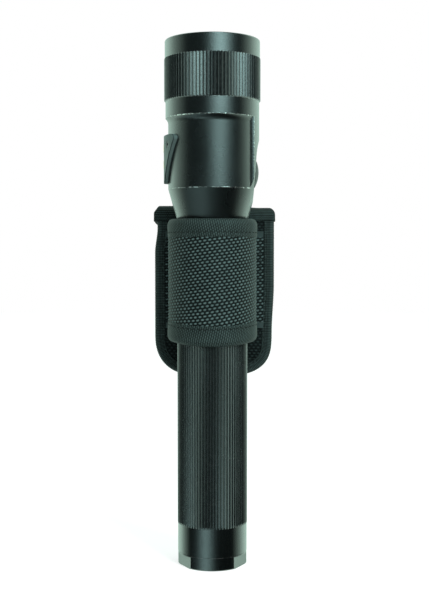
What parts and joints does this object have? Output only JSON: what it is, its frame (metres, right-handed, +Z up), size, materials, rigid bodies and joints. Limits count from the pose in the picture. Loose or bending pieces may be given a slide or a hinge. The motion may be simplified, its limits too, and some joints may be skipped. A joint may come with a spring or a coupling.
{
  "type": "tactical flashlight",
  "caption": "Rechargeable aluminium duty flashlight with fluted head cap and grip, side switch in a thumb ramp, charge wedge, and a nylon belt holder that slides on the grip.",
  "frame": {"origin": "centre of the tail cap's rear face, on the light's axis", "axes": "+Z up the light's axis towards the lens, +X towards the switch, -X towards the charging wedge, +Y towards the belt holder's panel and belt loop"},
  "size_m": [0.0528, 0.047, 0.2183],
  "materials": {
    "anodised_black": "satin",
    "bare_aluminium": "satin",
    "cell_can": "satin",
    "spring_steel": "satin",
    "blackened_steel": "satin",
    "contact_brass": "satin",
    "seal_rubber": "satin",
    "button_rubber": "matte",
    "moulded_black": "matte",
    "sleeve_film": "satin",
    "board_green": "satin",
    "board_white": "satin",
    "led_phosphor": "gloss",
    "reflector_mirror": "polished",
    "lens_glass": "polished",
    "nylon_weave": "matte",
    "nylon_tape": "matte"
  },
  "bodies": {
    "light": {"barrel": "anodised_black", "battery_cell_rear": "cell_can", "battery_cell_middle": "cell_can", "battery_cell_front": "cell_can", "battery_sleeve": "sleeve_film", "front_contact": "contact_brass", "contact_insulator": "moulded_black", "switch_module": "moulded_black", "driver_board": "board_green", "head_housing": "anodised_black", "heat_sink": "bare_aluminium", "module_ring": "bare_aluminium", "led_board": "board_white", "led_emitter": "led_phosphor", "face_seal": "seal_rubber", "charge_block": "moulded_black", "charge_contacts": "contact_brass", "charge_screws": "blackened_steel"},
    "lens_stack": {"reflector": "reflector_mirror", "lens": "lens_glass", "lens_gasket": "seal_rubber"},
    "face_cap": {"face_cap": "anodised_black"},
    "tail_spring": {"tail_spring": "spring_steel", "tail_contact": "contact_brass"},
    "tail_cap": {"tail_cap": "anodised_black", "tail_seal": "seal_rubber"},
    "button": {"switch_boot": "button_rubber", "switch_plunger": "moulded_black"},
    "holder": {"ring_band": "nylon_weave", "ring_binding_top": "nylon_tape", "ring_binding_bottom": "nylon_tape", "holder_panel": "nylon_weave", "panel_binding": "nylon_tape", "belt_loop": "nylon_tape"}
  },
  "joints": [
    {"name": "lens_lift", "type": "slide", "parent": "light", "child": "lens_stack", "axis": [0, 0, 1], "range_m": [0, 0.006]},
    {"name": "face_cap_turn", "type": "hinge", "parent": "lens_stack", "child": "face_cap", "pos_m": [0, 0, 0.19306], "axis": [0, 0, 1], "range_deg": [0, 2160]},
    {"name": "tail_drop", "type": "slide", "parent": "light", "child": "tail_spring", "axis": [0, 0, -1], "range_m": [0, 0.006]},
    {"name": "tail_cap_turn", "type": "hinge", "parent": "tail_spring", "child": "tail_cap", "pos_m": [0, 0, 0.0055], "axis": [0, 0, -1], "range_deg": [0, 2160]},
    {"name": "button_press", "type": "slide", "parent": "light", "child": "button", "axis": [-0.9974, 0, 0.0715], "range_m": [0, 0.001], "stiffness_N_per_m": 2500, "springref_m": -0.0004},
    {"name": "holder_slide", "type": "slide", "parent": "light", "child": "holder", "axis": [0, 0, -1], "range_m": [0, 0.146]}
  ],
  "couplings": [
    {"joint": "face_cap_turn", "follows": "lens_lift", "rad_per_m": 6283.2},
    {"joint": "tail_cap_turn", "follows": "tail_drop", "rad_per_m": 6283.2}
  ]
}
